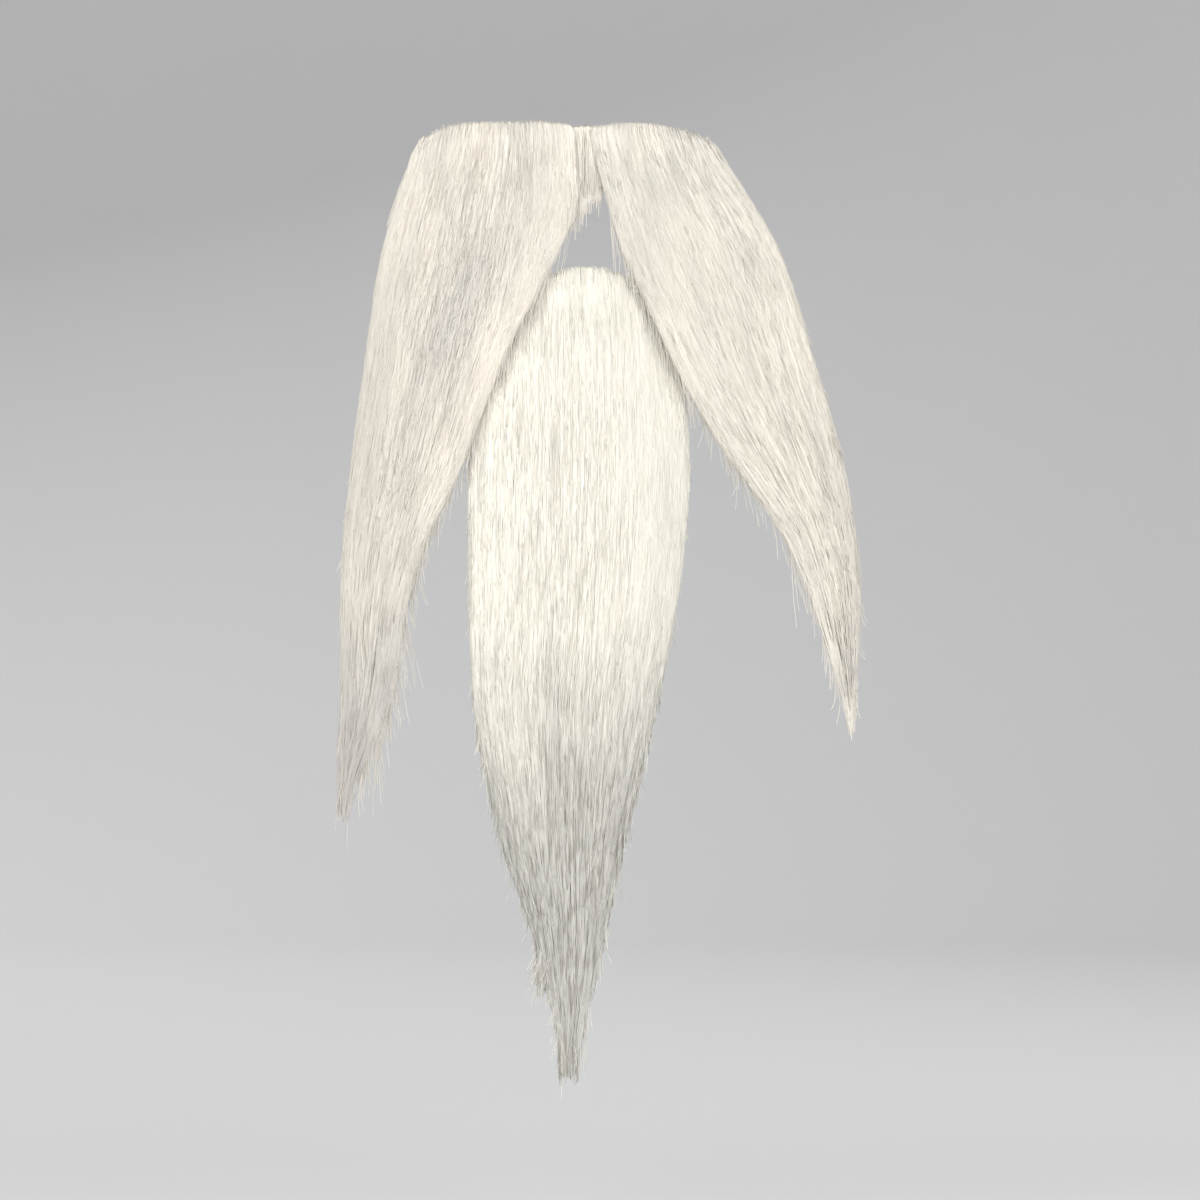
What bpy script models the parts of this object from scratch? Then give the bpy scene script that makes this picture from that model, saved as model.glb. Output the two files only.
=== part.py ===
"""A stick-on fake beard: a drooping moustache in two wings, and a long pointed chin beard.

Each bundle of hair is a core with tapered locks fused round it, and lies on a thin fabric base that is
stuck to the face. The front faces -Y and +Z is up. The origin is on the wearer's upper lip, at the
middle of the moustache base's back face. Left and right are as seen from the front, so left is -X.
All sizes are in metres.
"""

import math
from collections import namedtuple

import bmesh
import bpy
from mathutils import Vector

# The face that the beard is shaped to: flat in the middle, then curved back round the teeth and cheeks
FACE_RADIUS = 0.048
FACE_LAND = 0.0050
JAW_HEIGHT = -0.0720
FACE_COLUMNS = 26

# The fabric bases
BASE_THICKNESS = 0.0012
SEAT_GAP = 0.0003
LIP_BASE_HEIGHT = 0.0110
LIP_BASE_LEFT = 0.0320
LIP_BASE_RIGHT = 0.0250
CHIN_BASE_WIDTH = 0.0250
CHIN_BASE_HEIGHT = 0.0300
CHIN_BASE_DROP = 0.0030
BASE_COLUMNS = 5

# The moustache
MOUSTACHE_TOP = 0.0070
LEFT_WING_LENGTH = 0.1585
LEFT_WING_REACH = 0.0547
RIGHT_WING_LENGTH = 0.1395
RIGHT_WING_REACH = 0.0637
WING_WRAP = 0.0160
WING_THICKNESS = 0.0070
CENTRE_LOCK_LENGTH = 0.0190
CENTRE_LOCK_WIDTH = 0.0046
CENTRE_LOCK_THICKNESS = 0.0022
CENTRE_LOCK_MIDDLE = 0.0011

# The chin beard
BEARD_TOP = -0.0260
BEARD_LENGTH = 0.1843
BEARD_WIDTH = 0.0497
BEARD_DEPTH = 0.0180

# How the locks are laid: the depths are shares of half a bundle's thickness, the widths are shares of
# its width, and the core's start and end are shares of its length
LOCK_SIDES = 6
CORE_SIDES = 10
LOCK_OVERLAP = 1.35
ROW_DEPTH = 0.60
EDGE_LOCK_DEPTH = 0.24
MIDDLE_LOCK_DEPTH = 0.38
CORE_HALF_WIDTH = 0.44
CORE_HALF_DEPTH = 0.72
CORE_START = 0.012
CORE_END = 0.90
ROOT_SHARE = 0.06
ROOT_FULLNESS = 0.70
TIP_SHARE = 0.14
TIP_FULLNESS = 0.40
RING_SHARES = (0.00, 0.03, 0.10, 0.22, 0.36, 0.50, 0.64, 0.77, 0.88, 0.95, 1.00)

Section = namedtuple("Section", "drop inner outer inner_set outer_set thickness")
Bundle = namedtuple("Bundle", "middle top length reach wrap thickness side sections")
Lock = namedtuple("Lock", "across depth half_width half_depth start end")

# Each row is a level down a bundle. drop is a share of its length. inner and outer are the two edges,
# as shares of its reach. The sets are how far back each edge stands, as shares of its wrap, and
# thickness is a share of its greatest thickness.
LEFT_WING_SECTIONS = (
    Section(0.000, 0.00, 0.64, -0.20, 0.52, 0.45),
    Section(0.037, 0.00, 0.69, -0.22, 0.60, 0.60),
    Section(0.085, 0.00, 0.76, -0.26, 0.68, 0.75),
    Section(0.137, 0.02, 0.80, -0.32, 0.74, 0.85),
    Section(0.188, 0.09, 0.83, -0.42, 0.77, 0.92),
    Section(0.244, 0.17, 0.86, -0.46, 0.78, 0.98),
    Section(0.332, 0.30, 0.90, -0.48, 0.78, 1.00),
    Section(0.469, 0.44, 0.95, -0.46, 0.72, 1.00),
    Section(0.598, 0.63, 0.99, -0.36, 0.62, 0.94),
    Section(0.738, 0.72, 1.00, -0.24, 0.49, 0.80),
    Section(0.867, 0.80, 0.995, -0.06, 0.35, 0.60),
    Section(1.000, 0.94, 1.00, 0.10, 0.20, 0.32),
)
RIGHT_WING_SECTIONS = (
    Section(0.000, 0.02, 0.42, -0.20, 0.36, 0.45),
    Section(0.042, 0.03, 0.49, -0.22, 0.48, 0.60),
    Section(0.097, 0.06, 0.57, -0.26, 0.58, 0.75),
    Section(0.155, 0.10, 0.65, -0.32, 0.68, 0.85),
    Section(0.214, 0.14, 0.71, -0.42, 0.75, 0.92),
    Section(0.277, 0.20, 0.76, -0.46, 0.80, 0.98),
    Section(0.378, 0.30, 0.83, -0.48, 0.82, 1.00),
    Section(0.483, 0.43, 0.90, -0.48, 0.78, 1.00),
    Section(0.592, 0.58, 0.96, -0.36, 0.70, 0.94),
    Section(0.693, 0.73, 0.99, -0.26, 0.60, 0.84),
    Section(0.798, 0.83, 1.00, -0.08, 0.48, 0.68),
    Section(0.903, 0.91, 0.99, 0.08, 0.36, 0.48),
    Section(1.000, 0.95, 0.98, 0.20, 0.26, 0.30),
)
BEARD_SECTIONS = (
    Section(0.000, -0.17, 0.23, -0.08, -0.08, 0.20),
    Section(0.022, -0.20, 0.27, -0.09, -0.09, 0.27),
    Section(0.073, -0.32, 0.35, -0.06, -0.06, 0.36),
    Section(0.140, -0.43, 0.44, -0.03, -0.03, 0.52),
    Section(0.250, -0.50, 0.50, -0.10, -0.10, 0.82),
    Section(0.410, -0.50, 0.44, -0.24, -0.24, 1.00),
    Section(0.553, -0.48, 0.34, -0.36, -0.36, 0.94),
    Section(0.680, -0.39, 0.23, -0.42, -0.42, 0.76),
    Section(0.800, -0.24, 0.12, -0.46, -0.46, 0.54),
    Section(0.900, -0.14, 0.05, -0.49, -0.49, 0.34),
    Section(1.000, -0.10, 0.00, -0.50, -0.50, 0.20),
)
CENTRE_LOCK_SECTIONS = (
    Section(0.00, -0.44, 0.44, -0.15, -0.15, 0.80),
    Section(0.35, -0.50, 0.48, -0.16, -0.16, 1.00),
    Section(0.70, -0.34, 0.44, -0.17, -0.17, 0.90),
    Section(1.00, 0.00, 0.36, -0.18, -0.18, 0.60),
)

# Where each lock of a row begins and ends, from the inner edge to the outer one, as shares of the
# bundle's length
Row = namedtuple("Row", "starts ends")
LEFT_WING_LOCKS = Row((0.014, 0.006, 0.000, 0.000, 0.004, 0.024), (0.74, 0.82, 0.90, 0.96, 1.00, 0.98))
RIGHT_WING_LOCKS = Row((0.014, 0.004, 0.000, 0.006, 0.020, 0.046), (0.72, 0.82, 0.92, 1.00, 0.98, 0.94))
BEARD_LOCKS = Row(
    (0.026, 0.010, 0.002, 0.000, 0.002, 0.010, 0.024), (0.82, 0.94, 0.99, 1.00, 1.00, 0.97, 0.88)
)
CENTRE_LOCKS = Row((0.02, 0.00, 0.02), (0.84, 1.00, 0.90))
BACK_ROW_SHARE = 0.96

# The outlines of the fabric bases, from the top down: a share of the height, and one of the width
LIP_BASE_OUTLINE = ((0.00, 0.90), (0.18, 1.00), (0.82, 1.00), (1.00, 0.90))
CHIN_BASE_OUTLINE = ((0.00, 0.35), (0.12, 0.72), (0.30, 1.00), (0.75, 1.00), (0.92, 0.80), (1.00, 0.50))


def eased(sections, drop):
    """The sizes of a bundle's section at one drop, on smooth curves through the rows of its table."""
    last = len(sections) - 1
    row = max(i for i in range(last) if sections[i].drop <= drop or i == 0)
    low, high = sections[row], sections[row + 1]
    share = (drop - low.drop) / (high.drop - low.drop)
    before, after = sections[max(row - 1, 0)], sections[min(row + 2, last)]
    values = []
    for column in Section._fields[1:]:
        ends = getattr(low, column), getattr(high, column)
        reach = high.drop - low.drop
        slope_in = (ends[1] - getattr(before, column)) / (high.drop - before.drop) * reach
        slope_out = (getattr(after, column) - ends[0]) / (after.drop - low.drop) * reach
        square, cube = share * share, share ** 3
        values.append(
            (2 * cube - 3 * square + 1) * ends[0]
            + (cube - 2 * square + share) * slope_in
            + (3 * square - 2 * cube) * ends[1]
            + (cube - square) * slope_out
        )
    return values


def place(bundle, drop, across, depth):
    """A point in a bundle: across is 0 at the inner edge and 1 at the outer, depth is 1 at the front."""
    inner, outer, inner_set, outer_set, thickness = eased(bundle.sections, drop)
    height = bundle.top - drop * bundle.length
    start, end = (
        Vector((bundle.middle + bundle.side * edge * bundle.reach, set_back * bundle.wrap, height))
        for edge, set_back in ((inner, inner_set), (outer, outer_set))
    )
    span = end - start
    forward = Vector((span.y, -span.x, 0)).normalized()
    if forward.y > 0:
        forward.negate()
    bow = span.length_squared / (8 * FACE_RADIUS) * 4 * across * (1 - across)
    return start + span * across + forward * (bow + depth * thickness * bundle.thickness / 2)


def swell(share):
    """How full a lock is along its length: a blunt root, and an end drawn in to a cut tip."""
    if share < ROOT_SHARE:
        return ROOT_FULLNESS + (1 - ROOT_FULLNESS) * math.sqrt(1 - (1 - share / ROOT_SHARE) ** 2)
    if share > 1 - TIP_SHARE:
        return TIP_FULLNESS + (1 - TIP_FULLNESS) * math.sqrt((1 - share) / TIP_SHARE)
    return 1.0


def lock_mesh(name, bundle, lock, sides, grow=0.0):
    """One lock as a closed loft of level rings from its root to its tip, made larger all round by grow."""
    mesh = bmesh.new()
    rings = []
    for share in RING_SHARES:
        drop = lock.start + (lock.end - lock.start) * share
        middle = place(bundle, drop, lock.across, lock.depth)
        full = swell(share)
        ring = []
        for step in range(sides):
            turn = 2 * math.pi * (step + 0.5) / sides
            across = lock.across + lock.half_width * full * math.cos(turn)
            depth = lock.depth + lock.half_depth * full * math.sin(turn)
            point = place(bundle, drop, across, depth)
            point += (point - middle).normalized() * grow
            point.z += grow * ((share == RING_SHARES[0]) - (share == RING_SHARES[-1]))
            ring.append(mesh.verts.new(point))
        rings.append(ring)
    for upper, lower in zip(rings, rings[1:]):
        for step in range(sides):
            after = (step + 1) % sides
            mesh.faces.new((upper[step], upper[after], lower[after], lower[step]))
    mesh.faces.new(rings[0])
    mesh.faces.new(rings[-1])
    bmesh.ops.recalc_face_normals(mesh, faces=mesh.faces)
    data = bpy.data.meshes.new(name)
    mesh.to_mesh(data)
    mesh.free()
    return bpy.data.objects.new(name, data)


def lock_row(starts, ends, facing):
    """A row of locks side by side over the front of a bundle, or over its back."""
    half_width = LOCK_OVERLAP * 0.5 / len(ends)
    locks = []
    for index, (start, end) in enumerate(zip(starts, ends)):
        across = half_width + (1 - 2 * half_width) * index / (len(ends) - 1)
        fullness = math.sqrt(1 - (2 * across - 1) ** 2)
        depth = facing * ROW_DEPTH * fullness
        half_depth = EDGE_LOCK_DEPTH + (MIDDLE_LOCK_DEPTH - EDGE_LOCK_DEPTH) * fullness
        locks.append(Lock(across, depth, half_width, half_depth, start, end))
    return locks


def keep_outer_skin(data):
    """Removes the shells of any hollows left between the locks, so that a fused bundle is solid hair."""
    mesh = bmesh.new()
    mesh.from_mesh(data)
    waiting = set(mesh.verts)
    shells = []
    while waiting:
        shell, edge_of_shell = set(), [waiting.pop()]
        while edge_of_shell:
            vert = edge_of_shell.pop()
            shell.add(vert)
            nearby = {edge.other_vert(vert) for edge in vert.link_edges} & waiting
            waiting -= nearby
            edge_of_shell.extend(nearby)
        shells.append(shell)
    heights = [max(v.co.z for v in shell) - min(v.co.z for v in shell) for shell in shells]
    outer = shells[heights.index(max(heights))]
    bmesh.ops.delete(mesh, geom=[v for v in mesh.verts if v not in outer], context="VERTS")
    mesh.to_mesh(data)
    mesh.free()


def fuse(name, pieces, operation="UNION"):
    """The first piece joined with the others, or cut by them, as one plain mesh object."""
    base, others = pieces[0], pieces[1:]
    tools = bpy.data.collections.new(name + "_tools")
    for piece in others:
        tools.objects.link(piece)
    workshop.objects.link(base)
    joined = base.modifiers.new("fuse", "BOOLEAN")
    joined.operation = operation
    joined.operand_type = "COLLECTION"
    joined.collection = tools
    joined.solver = "EXACT"
    workshop.children.link(tools)
    graph = bpy.context.evaluated_depsgraph_get()
    data = bpy.data.meshes.new_from_object(base.evaluated_get(graph))
    for piece in pieces:
        bpy.data.objects.remove(piece)
    bpy.data.collections.remove(tools)
    keep_outer_skin(data)
    data.name = name
    return bpy.data.objects.new(name, data)


def hair_bundle(name, bundle, row, grow=0.0):
    """A bundle of hair: its core, with a row of locks over the front and a sparser row over the back."""
    core = Lock(0.5, 0.0, CORE_HALF_WIDTH, CORE_HALF_DEPTH, CORE_START, CORE_END)
    locks = lock_row(row.starts, row.ends, 1)
    locks += lock_row(row.starts[::2], [end * BACK_ROW_SHARE for end in row.ends[::2]], -1)
    pieces = [lock_mesh(name + "_core", bundle, core, CORE_SIDES, grow)]
    pieces += [lock_mesh(name + "_lock", bundle, lock, LOCK_SIDES, grow) for lock in locks]
    return fuse(name, pieces)


def skin(across):
    """How far back the wearer's skin stands at a distance from the middle of the face."""
    beyond = max(abs(across), FACE_LAND)
    return (beyond ** 2 - FACE_LAND ** 2) / (2 * FACE_RADIUS)


def face_columns(left, right, steps):
    """Distances from the middle of the face, from the left reach to the right one, with none on the land."""
    lefts = [-left + (left - FACE_LAND) * step / steps for step in range(steps + 1)]
    rights = [FACE_LAND + (right - FACE_LAND) * step / steps for step in range(steps + 1)]
    return lefts + rights


def face_block():
    """What the hair is cut back to behind: the face, with the fabric and the seat's gap in front of it."""
    reach = 1.3 * max(LEFT_WING_REACH, RIGHT_WING_REACH)
    outline = []
    for x in face_columns(reach, reach, FACE_COLUMNS):
        slope = math.hypot(1, x / FACE_RADIUS)
        outline.append((x, skin(x) - (BASE_THICKNESS + SEAT_GAP) * slope))
    back = 2 * skin(reach)
    outline += [(reach, back), (-reach, back)]
    mesh = bmesh.new()
    foot = mesh.faces.new([mesh.verts.new((x, y, JAW_HEIGHT)) for x, y in outline])
    lifted = bmesh.ops.extrude_face_region(mesh, geom=[foot])["geom"]
    rise = Vector((0, 0, 2 * MOUSTACHE_TOP - JAW_HEIGHT))
    bmesh.ops.translate(mesh, verts=[v for v in lifted if isinstance(v, bmesh.types.BMVert)], vec=rise)
    bmesh.ops.recalc_face_normals(mesh, faces=mesh.faces)
    data = bpy.data.meshes.new("face_block")
    mesh.to_mesh(data)
    mesh.free()
    return bpy.data.objects.new("face_block", data)


def fabric_base(name, top, height, left, right, outline):
    """A thin fabric piece that follows the face: an open grid, given its thickness by Solidify."""
    mesh = bmesh.new()
    grid = []
    for down, share in outline:
        grid.append([])
        for x in face_columns(left, right, BASE_COLUMNS):
            across = math.copysign(FACE_LAND + (abs(x) - FACE_LAND) * share, x)
            grid[-1].append(mesh.verts.new((across, skin(across), top - down * height)))
    for upper, lower in zip(grid, grid[1:]):
        for step in range(len(upper) - 1):
            mesh.faces.new((upper[step], lower[step], lower[step + 1], upper[step + 1]))
    data = bpy.data.meshes.new(name)
    mesh.to_mesh(data)
    mesh.free()
    base = bpy.data.objects.new(name, data)
    cloth = base.modifiers.new("thickness", "SOLIDIFY")
    cloth.thickness = BASE_THICKNESS
    cloth.offset = 1
    return base


def material(name, colour, roughness):
    made = bpy.data.materials.new(name)
    made.use_nodes = True
    shader = made.node_tree.nodes["Principled BSDF"]
    shader.inputs["Base Color"].default_value = (*colour, 1)
    shader.inputs["Roughness"].default_value = roughness
    shader.inputs["Metallic"].default_value = 0
    return made


for old in list(bpy.data.objects):
    bpy.data.objects.remove(old)
beard = bpy.data.collections.new("fake_beard")
workshop = bpy.data.collections.new("cutters")
for group in (beard, workshop):
    bpy.context.scene.collection.children.link(group)

wing_sizes = {"middle": 0.0, "top": MOUSTACHE_TOP, "wrap": WING_WRAP, "thickness": WING_THICKNESS}
left_wing = Bundle(
    length=LEFT_WING_LENGTH, reach=LEFT_WING_REACH, side=-1, sections=LEFT_WING_SECTIONS, **wing_sizes
)
right_wing = Bundle(
    length=RIGHT_WING_LENGTH, reach=RIGHT_WING_REACH, side=1, sections=RIGHT_WING_SECTIONS, **wing_sizes
)
centre_lock = Bundle(
    CENTRE_LOCK_MIDDLE, MOUSTACHE_TOP, CENTRE_LOCK_LENGTH, CENTRE_LOCK_WIDTH, WING_WRAP,
    CENTRE_LOCK_THICKNESS, 1, CENTRE_LOCK_SECTIONS,
)
chin_tuft = Bundle(0.0, BEARD_TOP, BEARD_LENGTH, BEARD_WIDTH, BEARD_DEPTH, BEARD_DEPTH, 1, BEARD_SECTIONS)

white_hair = material("white_hair", (0.80, 0.78, 0.73), 0.5)
ivory_hair = material("ivory_hair", (0.86, 0.83, 0.74), 0.5)
base_fabric = material("base_fabric", (0.62, 0.58, 0.50), 0.9)

finished = []
for name, bundle, locks in (
    ("chin_beard", chin_tuft, BEARD_LOCKS),
    ("moustache_centre_lock", centre_lock, CENTRE_LOCKS),
):
    solid = fuse(name, [hair_bundle(name, bundle, locks), face_block()], "DIFFERENCE")
    finished.append((solid, ivory_hair))
for name, wing, locks in (
    ("moustache_wing_left", left_wing, LEFT_WING_LOCKS),
    ("moustache_wing_right", right_wing, RIGHT_WING_LOCKS),
):
    room = [
        face_block(),
        hair_bundle("room_for_chin_beard", chin_tuft, BEARD_LOCKS, SEAT_GAP),
        hair_bundle("room_for_centre_lock", centre_lock, CENTRE_LOCKS, SEAT_GAP),
    ]
    finished.append((fuse(name, [hair_bundle(name, wing, locks)] + room, "DIFFERENCE"), white_hair))

moustache_base = fabric_base(
    "moustache_base", LIP_BASE_HEIGHT / 2, LIP_BASE_HEIGHT, LIP_BASE_LEFT, LIP_BASE_RIGHT, LIP_BASE_OUTLINE
)
chin_base = fabric_base(
    "chin_base", BEARD_TOP - CHIN_BASE_DROP, CHIN_BASE_HEIGHT, CHIN_BASE_WIDTH / 2, CHIN_BASE_WIDTH / 2,
    CHIN_BASE_OUTLINE,
)
finished += [(moustache_base, base_fabric), (chin_base, base_fabric)]

for piece, finish in finished:
    piece.data.materials.clear()
    piece.data.materials.append(finish)
    beard.objects.link(piece)
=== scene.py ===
import math
from collections import namedtuple

import bmesh
import bpy
import numpy as np
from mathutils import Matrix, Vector
from mathutils.bvhtree import BVHTree


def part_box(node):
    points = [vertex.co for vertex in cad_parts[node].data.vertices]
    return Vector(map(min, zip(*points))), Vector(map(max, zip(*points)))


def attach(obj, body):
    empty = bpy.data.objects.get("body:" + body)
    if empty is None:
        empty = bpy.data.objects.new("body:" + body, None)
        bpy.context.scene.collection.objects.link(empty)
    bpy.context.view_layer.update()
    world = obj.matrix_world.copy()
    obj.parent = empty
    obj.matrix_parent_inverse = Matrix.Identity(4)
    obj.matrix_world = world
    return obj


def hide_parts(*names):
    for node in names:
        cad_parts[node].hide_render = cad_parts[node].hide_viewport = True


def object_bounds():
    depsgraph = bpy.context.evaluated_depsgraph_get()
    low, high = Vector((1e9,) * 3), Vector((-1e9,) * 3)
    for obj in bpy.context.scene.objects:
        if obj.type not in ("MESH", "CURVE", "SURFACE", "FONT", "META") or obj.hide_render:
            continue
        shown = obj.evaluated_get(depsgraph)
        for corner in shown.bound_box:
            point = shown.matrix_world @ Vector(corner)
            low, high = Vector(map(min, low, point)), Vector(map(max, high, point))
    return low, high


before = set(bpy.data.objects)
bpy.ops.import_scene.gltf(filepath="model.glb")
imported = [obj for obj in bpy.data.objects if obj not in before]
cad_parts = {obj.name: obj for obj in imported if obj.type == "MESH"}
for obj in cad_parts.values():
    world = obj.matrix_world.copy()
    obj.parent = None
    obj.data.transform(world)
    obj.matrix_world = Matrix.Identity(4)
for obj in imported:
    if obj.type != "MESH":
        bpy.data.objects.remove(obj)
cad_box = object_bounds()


# The moustache base
# A narrow strip of plain-woven cotton tape that the moustache's hair is sewn to, and that is stuck on
# above the mouth opening. Its threads show on the back and along its edges.

TAPE_THREAD = 0.00045
TAPE_RELIEF = 0.00012
TAPE_CROSSING = 0.15
TAPE_UNEVENNESS = (900, 900, 900)
TAPE_UNEVEN_DETAIL = 3.0
TAPE_LEAST_LIGHT = 0.45
TAPE_GAP_SHADE = 0.6
TAPE_COLOUR = (0.70, 0.66, 0.57, 1)
# The colour painted into the gaps between the threads as their shade
TAPE_GAP_SHADE_COLOUR = (0.42, 0.38, 0.31, 1)
TAPE_ROUGHNESS = 0.88
TAPE_SHEEN = 0.25


def feed(tree, target, source):
    """Gives a socket its value: another socket, or a plain number, vector or colour."""
    if isinstance(source, bpy.types.NodeSocket):
        tree.links.new(source, target)
    else:
        target.default_value = source


def feed_all(tree, sockets, sources):
    """Gives several sockets of one node their values, from a table by name or number."""
    for name, source in sources.items():
        feed(tree, sockets[name], source)


def add(tree, kind, sources=None, **settings):
    """A new node in a tree, with its settings made and its inputs fed."""
    node = tree.nodes.new(kind)
    for name, value in settings.items():
        setattr(node, name, value)
    feed_all(tree, node.inputs, sources or {})
    return node


def math_of(tree, operation, *terms):
    """The result of a Math node on sockets or numbers."""
    return add(tree, "ShaderNodeMath", dict(enumerate(terms)), operation=operation).outputs["Value"]


def blend(tree, share, first, second):
    """Two colours mixed by a share."""
    node = add(tree, "ShaderNodeMix", data_type="RGBA")
    for name, source in (("Factor_Float", share), ("A_Color", first), ("B_Color", second)):
        feed(tree, next(s for s in node.inputs if s.identifier == name), source)
    return next(s for s in node.outputs if s.identifier == "Result_Color")


def noise(tree, vector, stretch, detail=2.0):
    """Noise read at a vector that is first multiplied by a stretch along each axis."""
    scaled = add(tree, "ShaderNodeVectorMath", {0: vector, 1: stretch}, operation="MULTIPLY")
    sources = {"Vector": scaled.outputs["Vector"], "Scale": 1.0, "Detail": detail}
    return add(tree, "ShaderNodeTexNoise", sources).outputs["Fac"]


def start_group(name, kind, inputs, outputs):
    """A node group with named sockets, some with a value, and its input and output nodes' sockets."""
    group = bpy.data.node_groups.new(name, kind)
    for label, socket, *value in inputs:
        made = group.interface.new_socket(name=label, in_out="INPUT", socket_type="NodeSocket" + socket)
        if value:
            made.default_value = value[0]
    for label, socket in outputs:
        group.interface.new_socket(name=label, in_out="OUTPUT", socket_type="NodeSocket" + socket)
    return group, add(group, "NodeGroupInput").outputs, add(group, "NodeGroupOutput").inputs


def woven_threads():
    """The colour and height of plain weave, on the two axes of the tape, with painted shade in the gaps
    between the threads.
    """
    group, given, result = start_group(
        "woven threads",
        "ShaderNodeTree",
        (
            ("Vector", "Vector"),
            ("Thread", "Float", TAPE_THREAD),
            ("Thread colour", "Color", TAPE_COLOUR),
            ("Gap colour", "Color", TAPE_GAP_SHADE_COLOUR),
        ),
        (("Color", "Color"), ("Height", "Float")),
    )
    axes = add(group, "ShaderNodeSeparateXYZ", {"Vector": given["Vector"]}).outputs
    counts = [math_of(group, "DIVIDE", axes[axis], given["Thread"]) for axis in "XZ"]
    across, down = (math_of(group, "SINE", math_of(group, "MULTIPLY", count, math.pi)) for count in counts)
    crest_across, crest_down = (math_of(group, "ABSOLUTE", wave) for wave in (across, down))
    crossing = math_of(group, "MULTIPLY", across, down)
    limits = {"From Min": -TAPE_CROSSING, "From Max": TAPE_CROSSING}
    over = add(group, "ShaderNodeMapRange", {"Value": crossing, **limits}).outputs["Result"]
    under = math_of(group, "SUBTRACT", 1.0, over)
    seen_across = math_of(group, "MULTIPLY", crest_across, over)
    seen_down = math_of(group, "MULTIPLY", crest_down, under)
    height = math_of(group, "ADD", seen_across, seen_down)
    uneven = noise(group, given["Vector"], TAPE_UNEVENNESS, TAPE_UNEVEN_DETAIL)
    light = math_of(group, "ADD", uneven, TAPE_LEAST_LIGHT)
    # Darker where the weave is low: painted shade in the gaps between the threads, with a random unevenness
    lit = math_of(group, "MULTIPLY", math_of(group, "POWER", height, TAPE_GAP_SHADE), light)
    colour = blend(group, lit, given["Gap colour"], given["Thread colour"])
    feed_all(group, result, {"Color": colour, "Height": height})
    return group


threads = woven_threads()


def start_material(name):
    """A new node material, its tree and its Principled shader's inputs."""
    material = bpy.data.materials.new(name)
    material.use_nodes = True
    return material, material.node_tree, material.node_tree.nodes["Principled BSDF"].inputs


def place_on(tree):
    """Where on its object a material is seen."""
    return add(tree, "ShaderNodeTexCoord").outputs["Object"]


def tape_cloth():
    """The tape's cotton: matt and a little fluffy, with the weave in its relief and in its colour, as
    painted shade in the gaps between the threads.
    """
    material, tree, shader = start_material("woven cotton tape")
    weave = add(tree, "ShaderNodeGroup", {"Vector": place_on(tree)}, node_tree=threads).outputs
    relief = add(tree, "ShaderNodeBump", {"Distance": TAPE_RELIEF, "Height": weave["Height"]}).outputs
    feed_all(tree, shader, {"Base Color": weave["Color"], "Normal": relief["Normal"]})
    feed_all(tree, shader, {"Roughness": TAPE_ROUGHNESS, "Sheen Weight": TAPE_SHEEN})
    return material


tape = tape_cloth()


def surface_of(node):
    """A CAD solid's surface, ready for rays to be cast on it."""
    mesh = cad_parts[node].data
    return BVHTree.FromPolygons([v.co[:] for v in mesh.vertices], [p.vertices[:] for p in mesh.polygons])


def dress_in(node, material):
    """Gives a CAD solid its finish."""
    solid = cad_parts[node].data
    solid.materials.clear()
    solid.materials.append(material)


dress_in("moustache_base", tape)

# The sewing of the bases
# Each base's hair is held by level rows of machine stitches, in white cotton thread. On the back they
# show as short raised stitches with a small gap between them.

STITCH_LENGTH = 0.0019
STITCH_GAP = 0.0006
STITCH_RADIUS = 0.00019
STITCH_SINK = 0.00004
STITCH_SEGMENTS = 8
STITCH_RINGS = 6
ROW_MARGIN = 0.0016
ROW_POINTS = 40
THREAD_COLOUR = (0.86, 0.84, 0.78, 1)
THREAD_SHADE = (0.66, 0.64, 0.58, 1)
THREAD_TWIST = (2600, 2600, 2600)
THREAD_ROUGHNESS = 0.6
# How far off a solid a ray that looks for its surface starts
RAY_START = 0.01


def end_tree(tree, geometry, given, result):
    """The last steps of a tree: what it made is realized and given its material."""
    solid = add(tree, "GeometryNodeRealizeInstances", {"Geometry": geometry}).outputs["Geometry"]
    finish = add(tree, "GeometryNodeSetMaterial", {"Geometry": solid, "Material": given["Material"]})
    feed(tree, result["Geometry"], finish.outputs["Geometry"])
    return tree


def stitch_tree():
    """Short round stitches laid end to end along guide lines."""
    tree, given, result = start_group(
        "stitches",
        "GeometryNodeTree",
        (
            ("Geometry", "Geometry"),
            ("Pitch", "Float", STITCH_LENGTH + STITCH_GAP),
            ("Length", "Float", STITCH_LENGTH),
            ("Radius", "Float", STITCH_RADIUS),
            ("Material", "Material"),
        ),
        (("Geometry", "Geometry"),),
    )
    line = add(tree, "GeometryNodeMeshToCurve", {"Mesh": given["Geometry"]}).outputs["Curve"]
    spaced = add(tree, "GeometryNodeResampleCurve", {"Curve": line, "Length": given["Pitch"]}, mode="LENGTH")
    sizes = {"Segments": STITCH_SEGMENTS, "Rings": STITCH_RINGS, "Radius": 1.0}
    stitch = add(tree, "GeometryNodeMeshUVSphere", sizes).outputs["Mesh"]
    half = math_of(tree, "MULTIPLY", given["Length"], 0.5)
    size = add(tree, "ShaderNodeCombineXYZ", {"X": given["Radius"], "Y": given["Radius"], "Z": half})
    tangent = add(tree, "GeometryNodeInputTangent").outputs["Tangent"]
    heading = add(tree, "FunctionNodeAlignRotationToVector", {"Vector": tangent}, axis="Z")
    copies = add(
        tree,
        "GeometryNodeInstanceOnPoints",
        {
            "Points": spaced.outputs["Curve"],
            "Instance": stitch,
            "Rotation": heading.outputs["Rotation"],
            "Scale": size.outputs["Vector"],
        },
    )
    return end_tree(tree, copies.outputs["Instances"], given, result)


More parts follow.
